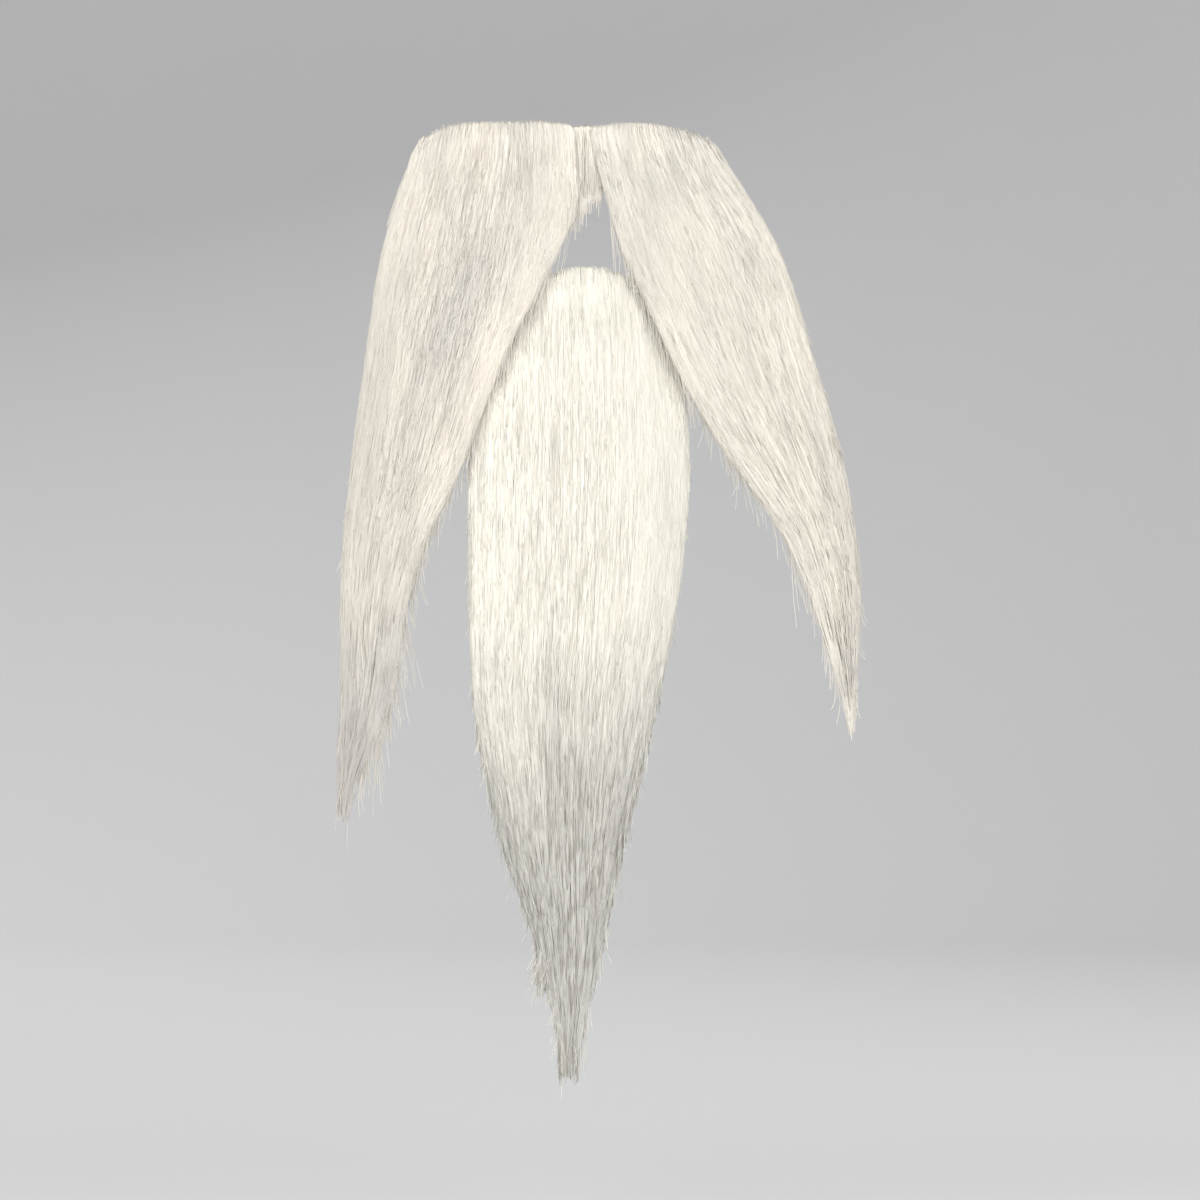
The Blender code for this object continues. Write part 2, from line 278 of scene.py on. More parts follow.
def grown_on(guide, tree, **values):
    """A guide object's mesh after a Geometry Nodes tree with these inputs, as a plain smooth mesh."""
    modifier = guide.modifiers.new(tree.name, "NODES")
    modifier.node_group = tree
    sockets = {item.name: item.identifier for item in tree.interface.items_tree if item.in_out == "INPUT"}
    for name, value in values.items():
        modifier[sockets[name.replace("_", " ")]] = value
    view = bpy.context.evaluated_depsgraph_get()
    mesh = bpy.data.meshes.new_from_object(guide.evaluated_get(view))
    guide.modifiers.remove(modifier)
    bpy.data.objects.remove(guide)
    mesh.polygons.foreach_set("use_smooth", [True] * len(mesh.polygons))
    return mesh


def write_values(mesh, label, values, shape):
    """A value for each point of a mesh, from an array that has this shape or spreads to it."""
    layer = mesh.attributes.new(label, "FLOAT", "POINT")
    layer.data.foreach_set("value", np.broadcast_to(values, shape).reshape(-1).astype(np.float32))


def new_object(name, data):
    """A new object in the scene."""
    made = bpy.data.objects.new(name, data)
    bpy.context.scene.collection.objects.link(made)
    return made


def guide_lines(name, points, **attributes):
    """An object of loose lines, one for each row of points, with the attributes' values at each point."""
    lines, steps = points.shape[:2]
    mesh = bpy.data.meshes.new(name)
    mesh.vertices.add(lines * steps)
    mesh.vertices.foreach_set("co", points.reshape(-1).astype(np.float32))
    firsts = (np.arange(lines)[:, None] * steps + np.arange(steps - 1)).reshape(-1)
    mesh.edges.add(len(firsts))
    mesh.edges.foreach_set("vertices", np.stack([firsts, firsts + 1], 1).reshape(-1).astype(np.int32))
    for label, values in attributes.items():
        write_values(mesh, label, values, (lines, steps))
    return new_object(name, mesh)


def show(name, mesh, slot, *replaced):
    """Puts a finished mesh in the scene as a piece of the beard."""
    mesh.name = name
    piece = new_object(name, mesh)
    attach(piece, "root")
    if replaced:
        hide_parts(*replaced)


def sewing_thread():
    """White cotton thread, darker in the turns of its twist."""
    material, tree, shader = start_material("sewing thread")
    colour = blend(tree, noise(tree, place_on(tree), THREAD_TWIST), THREAD_SHADE, THREAD_COLOUR)
    feed_all(tree, shader, {"Base Color": colour, "Roughness": THREAD_ROUGHNESS})
    return material


def sew_rows(name, node, shares):
    """Level rows of stitches over the back of a base, at these shares of its height from the top."""
    low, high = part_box(node)
    cloth = surface_of(node)
    rows = []
    for share in shares:
        height = high.z - share * (high.z - low.z)
        row = []
        for x in np.linspace(low.x + ROW_MARGIN, high.x - ROW_MARGIN, ROW_POINTS):
            met = cloth.ray_cast(Vector((x, high.y + RAY_START, height)), Vector((0, -1, 0)))[0]
            row.append((x, met.y + STITCH_RADIUS - STITCH_SINK, height))
        rows.append(row)
    show(name, grown_on(guide_lines(name, np.array(rows)), stitches, Material=cotton), "base_fabric")


stitches = stitch_tree()
cotton = sewing_thread()
sew_rows("moustache_base_sewing", "moustache_base", (0.24, 0.76))

# The chin base
# A shield-shaped patch of the same woven tape, which the chin's hair is sewn to and which is stuck on
# below the mouth opening. It has three rows of the same sewing.

dress_in("chin_base", tape)
sew_rows("chin_base_sewing", "chin_base", (0.20, 0.50, 0.80))

# The chin beard
# The long pointed bundle of the chin: straight, coarse synthetic hair in a warm ivory white, combed
# down and cut to a point. The hairs rise off the base, bend over and hang in fine wisps of all lengths.

Form = namedtuple("Form", "left right front back top height flow cut")

# The edges of the beard as its hair runs: how far down, and then the left and the right edge, in shares
# of its solid's height and width. The roots start along an arc in the upper fifth.
CHIN_EDGES = (
    (0.000, 0.060, 0.940),
    (0.073, 0.030, 0.972),
    (0.140, 0.008, 0.994),
    (0.187, -0.004, 1.014),
    (0.276, -0.010, 1.014),
    (0.362, -0.012, 0.986),
    (0.457, -0.006, 0.932),
    (0.552, 0.012, 0.853),
    (0.632, 0.072, 0.787),
    (0.727, 0.157, 0.696),
    (0.800, 0.262, 0.640),
    (0.825, 0.305, 0.620),
    (0.875, 0.310, 0.582),
    (0.893, 0.365, 0.565),
    (0.910, 0.385, 0.550),
    (0.950, 0.400, 0.508),
    (1.000, 0.408, 0.494),
)
# Where the roots start: a share of the width, and how far down they are as a share of the height
CHIN_ROOTS = ((0.00, 0.187), (0.03, 0.140), (0.15, 0.073), (0.32, 0.022), (0.37, 0.010), (0.48, 0.000),
              (0.59, 0.000), (0.73, 0.010), (0.78, 0.022), (0.90, 0.073), (0.98, 0.140), (1.00, 0.187))

# Where the ends are cut, in the same shares: a small notch in the point
CHIN_CUT = ((0.00, 1.00), (0.40, 0.998), (0.52, 0.975), (0.64, 1.000), (1.00, 1.00))

FORM_LEVELS = 96
FORM_COLUMNS = 17
LEVELS = np.linspace(0, 1, FORM_LEVELS)
FORM_INSET = 0.0012
FORM_MARGIN = 0.02
EDGE_PASSES = 6
DOWN_PASSES = 5
ACROSS_PASSES = 3


def smoothed(values, passes):
    """Values evened out along their first axis, each with its neighbours, a number of times."""
    for _ in range(passes):
        padded = np.concatenate([values[:1], values, values[-1:]])
        values = (padded[:-2] + 2 * values + padded[2:]) / 4
    return values


def read_face(solid, heights, left, right, start, heading):
    """How far forward a solid's surface is, at each height and column, for rays that run one way along Y."""
    columns = np.arange(FORM_COLUMNS)
    shares = np.linspace(FORM_MARGIN, 1 - FORM_MARGIN, FORM_COLUMNS)
    face = np.full((FORM_LEVELS, FORM_COLUMNS), np.nan)
    for level, height in enumerate(heights):
        for column, across in enumerate(shares):
            x = left[level] + (right[level] - left[level]) * across
            met = solid.ray_cast(Vector((x, start, height)), Vector((0, heading, 0)))[0]
            if met:
                face[level, column] = met.y
        known = ~np.isnan(face[level])
        if known.any():
            face[level] = np.interp(columns, columns[known], face[level][known])
    filled = ~np.isnan(face[:, 0])
    for column in columns:
        face[:, column] = np.interp(LEVELS, LEVELS[filled], face[filled, column])
    return smoothed(smoothed(face, DOWN_PASSES).T, ACROSS_PASSES).T


def read_form(node, edges, flow=None, cut=None):
    """The form of a bundle: its edges from the table, and its front and back off the solid's surface.

    flow is a second table of edges, for hair that runs past the bundle's own edges and is cut off there.
    cut is a table of how far down the ends are cut, by their share of the width.
    """
    low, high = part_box(node)
    size = high - low
    rows = []
    for table in (edges, flow or edges):
        drops, *sides = np.array(table).T
        rows += [smoothed(low.x + size.x * np.interp(LEVELS, drops, side), EDGE_PASSES) for side in sides]
    left, right, *flow = rows
    solid = surface_of(node)
    heights = np.clip(high.z - LEVELS * size.z, low.z + FORM_INSET, high.z - FORM_INSET)
    front = read_face(solid, heights, left, right, low.y - RAY_START, 1)
    back = read_face(solid, heights, left, right, high.y + RAY_START, -1)
    return Form(left, right, front, back, high.z, size.z, flow, cut)


def at_level(form, drop, values):
    """A row of the form's values, one for each level, read at any drop."""
    return np.interp(drop, LEVELS, values)


def lay(form, drop, across, depth):
    """Points in a bundle. across runs from its left edge to its right, depth from its back to its front."""
    level = np.clip(drop, 0, 1) * (FORM_LEVELS - 1)
    upper = np.minimum(level.astype(int), FORM_LEVELS - 2)
    down = level - upper
    column = np.clip(across, 0, 1) * (FORM_COLUMNS - 1)
    before = np.minimum(column.astype(int), FORM_COLUMNS - 2)
    over = column - before

    def face(values):
        above = values[upper, before] * (1 - over) + values[upper, before + 1] * over
        below = values[upper + 1, before] * (1 - over) + values[upper + 1, before + 1] * over
        return above * (1 - down) + below * down

    left, right = at_level(form, drop, form.left), at_level(form, drop, form.right)
    back, front = face(form.back), face(form.front)
    x = left + (right - left) * across
    return np.stack([x, back + (front - back) * depth, form.top - drop * form.height], -1)


# How far round a bundle's section each corner is, starting at the front's left corner: half of the
# hairs lie on the front, and the rest on the sides and the back
CORNERS = (0.00, 0.48, 0.62, 0.86, 1.00)
CORNER_ACROSS = (-1, 1, 1, -1, -1)
CORNER_DEPTH = (1, 1, -1, -1, 1)
CORNER_ROUNDING = 4.5
LEAST_LEFT = 0.15
MOST_IN_ACROSS = 0.0012


def on_section(turn):
    """Where on a bundle's rounded section a turn is, from -1 to 1 across and from back to front."""
    turn = np.mod(turn, 1.0)
    across = np.interp(turn, CORNERS, CORNER_ACROSS)
    depth = np.interp(turn, CORNERS, CORNER_DEPTH)
    corner = (np.abs(across) ** CORNER_ROUNDING + np.abs(depth) ** CORNER_ROUNDING) ** (1 / CORNER_ROUNDING)
    return across / corner, depth / corner


def read_across(table, turn):
    """How far down the roots, the tips or the cut are at a turn, from a table by share of the width."""
    return np.interp((1 + on_section(turn)[0]) / 2, *np.array(table).T)


def place_round(form, drop, turn, below):
    """Points round a bundle: turn says where on its section, and below how far in from its surface."""
    across, depth = on_section(turn)
    half_width = at_level(form, drop, form.right - form.left) / 2
    half_depth = at_level(form, drop, (form.back - form.front)[:, FORM_COLUMNS // 2]) / 2
    in_across = np.minimum(below, MOST_IN_ACROSS)
    across = across * np.maximum(1 - in_across / half_width, LEAST_LEFT)
    depth = depth * np.maximum(1 - below / half_depth, LEAST_LEFT)
    return lay(form, drop, (1 + across) / 2, (1 + depth) / 2), (1 + across) / 2


Coat = namedtuple("Coat", "kind wisps hairs wisp_width wander below wave")
Bundle = namedtuple("Bundle", "node form roots coats material warmth slot seed tips", defaults=(None,))

# The points of a hair that starts at the base: its bend over the root, in metres down from the bend's
# top and in metres in from the bundle's surface, and then the rest of its length in shares
BEND_DROPS = np.array([0.0036, 0.0009, 0.0000, 0.0005, 0.0020])
BEND_BELOW = np.array([0.0065, 0.0036, 0.0018, 0.0007, 0.0001])
LONG_SHARES = np.array([0.06, 0.14, 0.24, 0.34, 0.45, 0.56, 0.67, 0.78, 0.88, 0.95, 1.00])
# The points of a hair that only shows in part: it comes up from under its neighbours and ends free
SHORT_SHARES = np.array([0.00, 0.12, 0.28, 0.44, 0.60, 0.75, 0.88, 1.00])
SHORT_BELOW = np.array([0.0010, 0.0003, 0, 0, 0, 0, 0, -0.0001])
SHORT_LENGTHS = (0.030, 0.070)
# The points of the finest ones, which lie across their neighbours and make the surface a little fuzzy
FUZZ_SHARES = np.array([0.00, 0.40, 0.75, 1.00])
FUZZ_BELOW = np.array([0.0005, 0.0000, -0.0001, -0.0003])
FUZZ_LENGTHS = (0.006, 0.016)
FUZZ_LEAN = 0.0009
PART_HAIRS = {
    "short": (SHORT_SHARES, SHORT_BELOW, SHORT_LENGTHS),
    "fuzz": (FUZZ_SHARES, FUZZ_BELOW, FUZZ_LENGTHS),
}
# How unevenly the roots, the tips, the trimmed side and the cut ends lie, in metres
ROOT_SPREAD = 0.0003
TIP_SPREAD = 0.0022
TRIM_SPREAD = 0.0012
CUT_SPREAD = 0.0006
# The same for the ends of a wisp's hairs, and the least length of a hair, in shares of the height
END_SPREAD = 0.02
LEAST_LENGTH = 0.10
# How much of a part hair may be hidden over the roots, and how much of it shows above the ends at least
MOST_HIDDEN = 0.9
LEAST_SHOWN = 0.4
ROOT_COVER = 0.0006
PAST_END = 0.001
PAST_EDGE = 1.005
# The lighter and darker wisps and hairs, how a wisp draws together, and how its hairs wave
MEAN_TONE = 0.5
WISP_TONES = 0.15
HAIR_TONES = 0.16
WISP_CLOSING = 0.6
SLOW_WAVE = (0.05, 0.12)
QUICK_WAVE = (0.02, 0.04)
QUICK_SHARE = 0.35
DEPTH_WAVE = (0.03, 0.06)
# A hair's thickness by its share of the length, the range of the hairs' own, and how long a root is
TAPER = np.array(((0, 0.8), (0.05, 1.0), (0.75, 0.9), (1.0, 0.3)))
HAIR_SIZES = (0.75, 1.15)
ROOT_LENGTH = 0.012


def thinned_ends(form, draws):
    """How far down wisps end, so that as many are left at each level as its width has room for."""
    width = form.flow[1] - form.flow[0]
    room = width / width.max()
    widest = int(room.argmax())
    room = np.minimum.accumulate(room[widest:])
    return np.interp(-draws, -room, LEVELS[widest:])


def carried(form, drop, turn):
    """Where round the bundle a hair of the front is at a drop, when it runs with the flow."""
    share = turn / CORNERS[1]
    start, stop, left, right = (at_level(form, drop, row) for row in (*form.flow, form.left, form.right))
    across = (start + (stop - start) * share - left) / (right - left)
    return np.where(turn < CORNERS[1], across * CORNERS[1], turn)


def flow_ends(form, turn):
    """How far down each hair leaves the bundle, when it runs with the flow."""
    past = (turn < CORNERS[1]) & (carried(form, LEVELS[:, None], turn) > CORNERS[1] * PAST_EDGE)
    return np.where(past.any(0), LEVELS[past.argmax(0)], 1.0)


def comb_wisps(coat, chance):
    """Where round the bundle each hair is, by wisp, with a tone for each hair."""
    wisp = np.repeat(np.arange(coat.wisps), coat.hairs)
    turn = ((np.arange(coat.wisps) + chance.random(coat.wisps)) / coat.wisps)[wisp]
    tone = chance.normal(MEAN_TONE, WISP_TONES, coat.wisps)[wisp] + chance.normal(0, HAIR_TONES, len(wisp))
    return wisp, turn, np.clip(tone, 0, 1)


def hair_ends(bundle, coat, wisp, turn, root, chance):
    """How far down each hair ends: at the bundle's tips, or by wisp as the bundle narrows to its point."""
    form = bundle.form
    count = len(turn)
    if bundle.tips:
        return read_across(bundle.tips, turn) + chance.normal(0, TIP_SPREAD, count) / form.height
    end = thinned_ends(form, chance.random(coat.wisps))[wisp] - np.abs(chance.normal(0, END_SPREAD, count))
    end = np.clip(end, root + LEAST_LENGTH, 1.0)
    if form.cut:
        end = np.minimum(end, read_across(form.cut, turn))
    return end + chance.normal(0, CUT_SPREAD, count) / form.height


def whole_hairs(form, root, end):
    """The drops along hairs that bend over their root and run to their end, and how deep they lie."""
    bend = root[:, None] + BEND_DROPS / form.height
    drop = np.concatenate([bend, bend[:, -1:] + (end - bend[:, -1])[:, None] * LONG_SHARES], 1)
    return drop, np.broadcast_to(np.concatenate([BEND_BELOW, np.zeros(len(LONG_SHARES))]), drop.shape)


def part_hairs(form, kind, turn, root, end, chance):
    """The drops along hairs that show in part, from the roots to the ends, and how deep they lie."""
    shares, depths, lengths = PART_HAIRS[kind]
    count = len(turn)
    end = np.minimum(end, flow_ends(form, turn) + chance.normal(0, TRIM_SPREAD, count) / form.height)
    length = chance.uniform(*lengths, count) / form.height
    span = np.maximum(end - root - length * LEAST_SHOWN, 0) + length * MOST_HIDDEN
    first = root + chance.random(count) * span - length * MOST_HIDDEN
    first = np.maximum(first, root + ROOT_COVER / form.height)
    last = np.minimum(first + length, end + PAST_END * chance.random(count) / form.height)
    drop = first[:, None] + (last - first)[:, None] * shares
    return drop, np.broadcast_to(depths, drop.shape)


def waves(chance, count, down, lengths, size):
    """A slow wave along each hair, of its own length, size and start, in metres."""
    length = chance.uniform(*lengths, (count, 1))
    swing = size * chance.normal(0, 1, (count, 1))
    start = chance.random((count, 1))
    return swing * np.sin(2 * math.pi * (down / length + start))


def comb(bundle, coat, seed):
    """The lines of a coat of hair, the values along them, and where in the bundle they are."""
    form = bundle.form
    chance = np.random.default_rng(seed)
    wisp, turn, tone = comb_wisps(coat, chance)
    count = len(wisp)
    aside = chance.normal(0, coat.wisp_width, (count, 1))
    root = read_across(bundle.roots, turn) + np.abs(chance.normal(0, ROOT_SPREAD, count)) / form.height
    end = hair_ends(bundle, coat, wisp, turn, root, chance)
    if coat.kind in PART_HAIRS:
        drop, below = part_hairs(form, coat.kind, turn, root, end, chance)
    else:
        drop, below = whole_hairs(form, root, end)
    along = (drop - drop.min(1, keepdims=True)) / np.ptp(drop, 1)[:, None]

    down = drop * form.height
    stray = aside * (1 - WISP_CLOSING * along) + waves(chance, count, down, SLOW_WAVE, coat.wander)
    stray = stray + waves(chance, count, down, QUICK_WAVE, coat.wander * QUICK_SHARE)
    if coat.kind == "fuzz":
        stray = stray + chance.normal(0, FUZZ_LEAN, (count, 1)) * along
    width = at_level(form, drop, form.right - form.left)
    way = np.broadcast_to(turn[:, None], drop.shape)
    turned = (carried(form, drop, way) if coat.kind in PART_HAIRS else way) + stray / width * CORNERS[1]
    below = below + chance.uniform(*coat.below, (count, 1))
    below = below + waves(chance, count, down, DEPTH_WAVE, coat.wave)
    lines, across = place_round(form, drop, turned, below)

    thickness = np.interp(along, *TAPER.T) * chance.uniform(*HAIR_SIZES, (count, 1))
    since_root = np.clip((drop - root[:, None]) * form.height / ROOT_LENGTH, 0, 1)
    values = {"tone": tone[:, None], "along": since_root, "thickness": thickness}
    return lines, values, across, drop


RADII = {"long": 0.00013, "short": 0.000095, "fuzz": 0.00007}
HAIR_SIDES = 3
HAIR_FRIZZ = 0.0007
HAIR_FRIZZ_SCALE = 60.0
# How far apart two neighbours read the noise that their frizz comes from
HAIR_APART = 7.31


def on_all_axes(tree, value):
    """A vector with the same value on each axis."""
    return add(tree, "ShaderNodeCombineXYZ", dict.fromkeys("XYZ", value)).outputs["Vector"]


def hair_tree():
    """Each guide line made one round hair, with a little frizz of its own."""
    tree, given, result = start_group(
        "hairs",
        "GeometryNodeTree",
        (
            ("Geometry", "Geometry"),
            ("Radius", "Float", RADII["long"]),
            ("Sides", "Int", HAIR_SIDES),
            ("Frizz", "Float", HAIR_FRIZZ),
            ("Frizz scale", "Float", HAIR_FRIZZ_SCALE),
            ("Seed", "Int", 1),
            ("Material", "Material"),
        ),
        (("Geometry", "Geometry"),),
    )
    line = add(tree, "GeometryNodeMeshToCurve", {"Mesh": given["Geometry"]}).outputs["Curve"]
    along, thickness = (
        add(tree, "GeometryNodeInputNamedAttribute", {"Name": name}, data_type="FLOAT").outputs["Attribute"]
        for name in ("along", "thickness")
    )
    own = add(tree, "GeometryNodeCurveOfPoint").outputs["Curve Index"]
    apart = on_all_axes(tree, math_of(tree, "MULTIPLY_ADD", own, HAIR_APART, given["Seed"]))
    scale = on_all_axes(tree, given["Frizz scale"])
    position = add(tree, "GeometryNodeInputPosition").outputs["Position"]
    place = add(tree, "ShaderNodeVectorMath", {0: position, 1: scale, 2: apart}, operation="MULTIPLY_ADD")
    rough = add(tree, "ShaderNodeTexNoise", {"Vector": place.outputs["Vector"], "Scale": 1.0}).outputs
    from_middle = {0: rough["Color"], 1: (0.5, 0.5, 0.5)}
    centred = add(tree, "ShaderNodeVectorMath", from_middle, operation="SUBTRACT")
    strength = math_of(tree, "MULTIPLY", along, given["Frizz"])
    push = {0: centred.outputs["Vector"], "Scale": strength}
    pushed = add(tree, "ShaderNodeVectorMath", push, operation="SCALE").outputs["Vector"]
    moved = add(tree, "GeometryNodeSetPosition", {"Geometry": line, "Offset": pushed}).outputs["Geometry"]
    sized = add(tree, "GeometryNodeSetCurveRadius", {"Curve": moved, "Radius": thickness}).outputs["Curve"]
    section = {"Resolution": given["Sides"], "Radius": given["Radius"]}
    circle = add(tree, "GeometryNodeCurvePrimitiveCircle", section, mode="RADIUS").outputs["Curve"]
    hair = add(tree, "GeometryNodeCurveToMesh", {"Curve": sized, "Profile Curve": circle, "Fill Caps": True})
    return end_tree(tree, hair.outputs["Mesh"], given, result)


hairs = hair_tree()

BROAD_PATCHES = (110, 110, 16)
PATCH_SWAY = 0.9
FINE_LINES = (1500, 1500, 70)
TONE_LIFT = 0.35
STREAK_FROM = 0.28
STREAK_TO = 0.62
STREAK_SHARE = 0.03
ROOT_SHADE = 0.10
ROOT_SHADE_END = 0.06
LEAST_ROUGHNESS = 0.34
ROUGHNESS_SPAN = 0.25
HAIR_RELIEF = 0.00005
HAIR_SHEEN = 0.10
HAIR_SPECULAR = 0.35


def combed_colour():
    """The colour of combed hair: warm, cool or painted shade by place, lighter or darker by hair, with fine
    streaks, more of them as painted shade in shaded places, and painted shade at the roots.
    """
    group, given, result = start_group(
        "combed hair",
        "ShaderNodeTree",
        (
            ("Vector", "Vector"),
            ("Tone", "Float"),
            ("Along", "Float"),
            ("Warmth", "Float"),
            ("Warm", "Color"),
            ("Cool", "Color"),
            ("Streak", "Color"),
            ("Streak share", "Float", STREAK_SHARE),
            ("Cool streak share", "Float"),
        ),
        (("Color", "Color"), ("Roughness", "Float"), ("Height", "Float")),
    )
    # The cool colour is a random cooler tone in broad patches and, where the warmth and light value is low,
    # painted shade
    broad = noise(group, given["Vector"], BROAD_PATCHES)
    sway = math_of(group, "MULTIPLY_ADD", broad, PATCH_SWAY, -PATCH_SWAY / 2)
    swayed = math_of(group, "ADD", given["Warmth"], sway)
    warmth = add(group, "ShaderNodeClamp", {"Value": swayed}).outputs["Result"]
    base = blend(group, warmth, given["Cool"], given["Warm"])
    fine = noise(group, given["Vector"], FINE_LINES)
    lifted = math_of(group, "SUBTRACT", fine, math_of(group, "MULTIPLY", given["Tone"], TONE_LIFT))
    limits = {"From Min": STREAK_FROM, "From Max": STREAK_TO}
    streaky = add(group, "ShaderNodeMapRange", {"Value": lifted, **limits}).outputs["Result"]
    # Where it is cool and shaded, more of the dark streak colour is painted in, as shade between the hairs
    coolness_and_shade = math_of(group, "SUBTRACT", 1.0, warmth)
    most = math_of(group, "MULTIPLY_ADD", coolness_and_shade, given["Cool streak share"], given["Streak share"])
    share = math_of(group, "MULTIPLY", streaky, most)
    streaked_and_shaded = blend(group, share, base, given["Streak"])
    shade = {"Value": given["Along"], "From Max": ROOT_SHADE_END, "To Min": ROOT_SHADE, "To Max": 0.0}
    root = add(group, "ShaderNodeMapRange", shade).outputs["Result"]
    colour = blend(group, root, streaked_and_shaded, given["Streak"])
    roughness = math_of(group, "MULTIPLY_ADD", fine, ROUGHNESS_SPAN, LEAST_ROUGHNESS)
    feed_all(group, result, {"Color": colour, "Roughness": roughness, "Height": fine})
    return group


combed = combed_colour()


def synthetic_hair(name, warm, cool_and_shade, streak_and_shade, cool_and_shade_streak_share):
    """Synthetic hair with a soft sheen."""
    material, tree, shader = start_material(name)
    sources = {"Vector": place_on(tree), "Warm": warm, "Cool": cool_and_shade, "Streak": streak_and_shade}
    sources["Cool streak share"] = cool_and_shade_streak_share
    for label in ("tone", "along", "warmth"):
        sources[label.capitalize()] = add(tree, "ShaderNodeAttribute", attribute_name=label).outputs["Fac"]
    hair = add(tree, "ShaderNodeGroup", sources, node_tree=combed).outputs
    relief = add(tree, "ShaderNodeBump", {"Distance": HAIR_RELIEF, "Height": hair["Height"]}).outputs
    feed_all(tree, shader, {"Base Color": hair["Color"], "Roughness": hair["Roughness"]})
    feed(tree, shader["Normal"], relief["Normal"])
    feed_all(tree, shader, {"Sheen Weight": HAIR_SHEEN, "Specular IOR Level": HAIR_SPECULAR})
    return material


MAP_ROWS = 6
MAP_SIDE_MARGIN = 0.1
MAP_END_MARGIN = 0.03
MAP_CAP_SLANT = 0.01


def lay_out_map(mesh, points, rows):
    """A UV map with a narrow upright strip for each hair, its root at the strip's foot."""
    corners = np.zeros(len(mesh.loops), np.int32)
    mesh.loops.foreach_get("vertex_index", corners)
    sizes = np.zeros(len(mesh.polygons), np.int32)
    mesh.polygons.foreach_get("loop_total", sizes)
    in_cap = np.repeat(sizes == HAIR_SIDES, sizes)
    hair, place = np.divmod(corners, points * HAIR_SIDES)
    step, side = np.divmod(place, HAIR_SIDES)
    columns = math.ceil(len(mesh.vertices) // (points * HAIR_SIDES) / rows)
    column, row = hair % columns, hair // columns
    u = column + MAP_SIDE_MARGIN + (1 - 2 * MAP_SIDE_MARGIN) * side / (HAIR_SIDES - 1)
    v = row + MAP_END_MARGIN + (1 - 2 * MAP_END_MARGIN) * step / (points - 1)
    v = v + MAP_CAP_SLANT * in_cap * (side == 1)
    layer = mesh.uv_layers.new(name="OFBake")
    layer.uv.foreach_set("vector", np.stack([u / columns, v / rows], 1).reshape(-1).astype(np.float32))


CORE_RINGS = 70
CORE_STEPS = 48
CORE_CROWDING = 1.5
CORE_BELOW = 0.00045
CORE_FLUTE = 0.00015
CORE_ROOT_DROP = 0.0007
# The core's depth under the hairs, in times its usual one, by its share of the length
CORE_SHALLOW = np.array(((0.02, 0.50), (0.30, 0.9), (0.75, 1.2), (1.0, 3.5)))
CORE_CAP = 0.025
CORE_CAP_DEPTH = 0.0035
CORE_TONE = 0.6


def core_of(name, bundle, end):
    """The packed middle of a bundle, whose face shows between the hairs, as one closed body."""
    form = bundle.form
    chance = np.random.default_rng(bundle.seed)
    flutes = smoothed(chance.normal(0, 1, (CORE_STEPS, 1)), 1).reshape(-1) * CORE_FLUTE
    turn = np.arange(CORE_STEPS) / CORE_STEPS
    share = np.linspace(0, 1, CORE_RINGS)[:, None] ** CORE_CROWDING
    rounding = 1 - np.sqrt(np.clip(1 - (1 - np.clip(share / CORE_CAP, 0, 1)) ** 2, 0, 1))
    below = (CORE_BELOW + flutes) * np.interp(share, *CORE_SHALLOW.T) + CORE_CAP_DEPTH * rounding
    start = read_across(bundle.roots, turn) + CORE_ROOT_DROP / form.height
    drop = start + (end - start) * share
    points, across = place_round(form, drop, np.broadcast_to(turn, drop.shape), below)
    mesh = bmesh.new()
    rings = [[mesh.verts.new(point) for point in ring] for ring in points]
    for upper, lower in zip(rings, rings[1:]):
        for step in range(CORE_STEPS):
            after = (step + 1) % CORE_STEPS
            mesh.faces.new((upper[step], upper[after], lower[after], lower[step]))
    mesh.faces.new(rings[0])
    mesh.faces.new(rings[-1])
    bmesh.ops.recalc_face_normals(mesh, faces=mesh.faces)
    for face in mesh.faces:
        face.smooth = True
    data = bpy.data.meshes.new(name)
    mesh.to_mesh(data)
    mesh.free()
    data.materials.append(bundle.material)
    for label, value in (("tone", CORE_TONE), ("along", 1.0), ("warmth", bundle.warmth(across, drop))):
        write_values(data, label, value, across.shape)
    return data


def add_coats(bundle):
    """The coats of hair of a bundle, in place of its solid."""
    for coat in bundle.coats:
        name = f"{bundle.node}_{coat.kind}_hairs"
        seed = bundle.seed + len(coat.kind)
        lines, values, across, drop = comb(bundle, coat, seed)
        guide = guide_lines(name, lines, warmth=bundle.warmth(across, drop), **values)
        mesh = grown_on(guide, hairs, Radius=RADII[coat.kind], Seed=seed, Material=bundle.material)
        lay_out_map(mesh, lines.shape[1], MAP_ROWS)
        show(name, mesh, bundle.slot, bundle.node)


def fill_out(bundle, core_end):
    """A whole bundle in place of its solid: its packed middle and its coats of hair."""
    name = bundle.node + "_core"
    show(name, core_of(name, bundle, core_end), bundle.slot, bundle.node)
    add_coats(bundle)


# The chin's darker grey and its dark streaks are partly a random cooler tone and mostly painted shade, at
# the edges and towards the thinning point
CHIN_WARM = (0.92, 0.89, 0.80, 1)
CHIN_COOL_AND_SHADE = (0.595, 0.582, 0.545, 1)
CHIN_STREAK_AND_SHADE = (0.26, 0.235, 0.19, 1)
CHIN_COOL_AND_SHADE_STREAKS = 0.95
CHIN_WARMTH = 1.12
CHIN_EDGE_SHADE = 0.2
CHIN_POINT_SHADE = 1.00


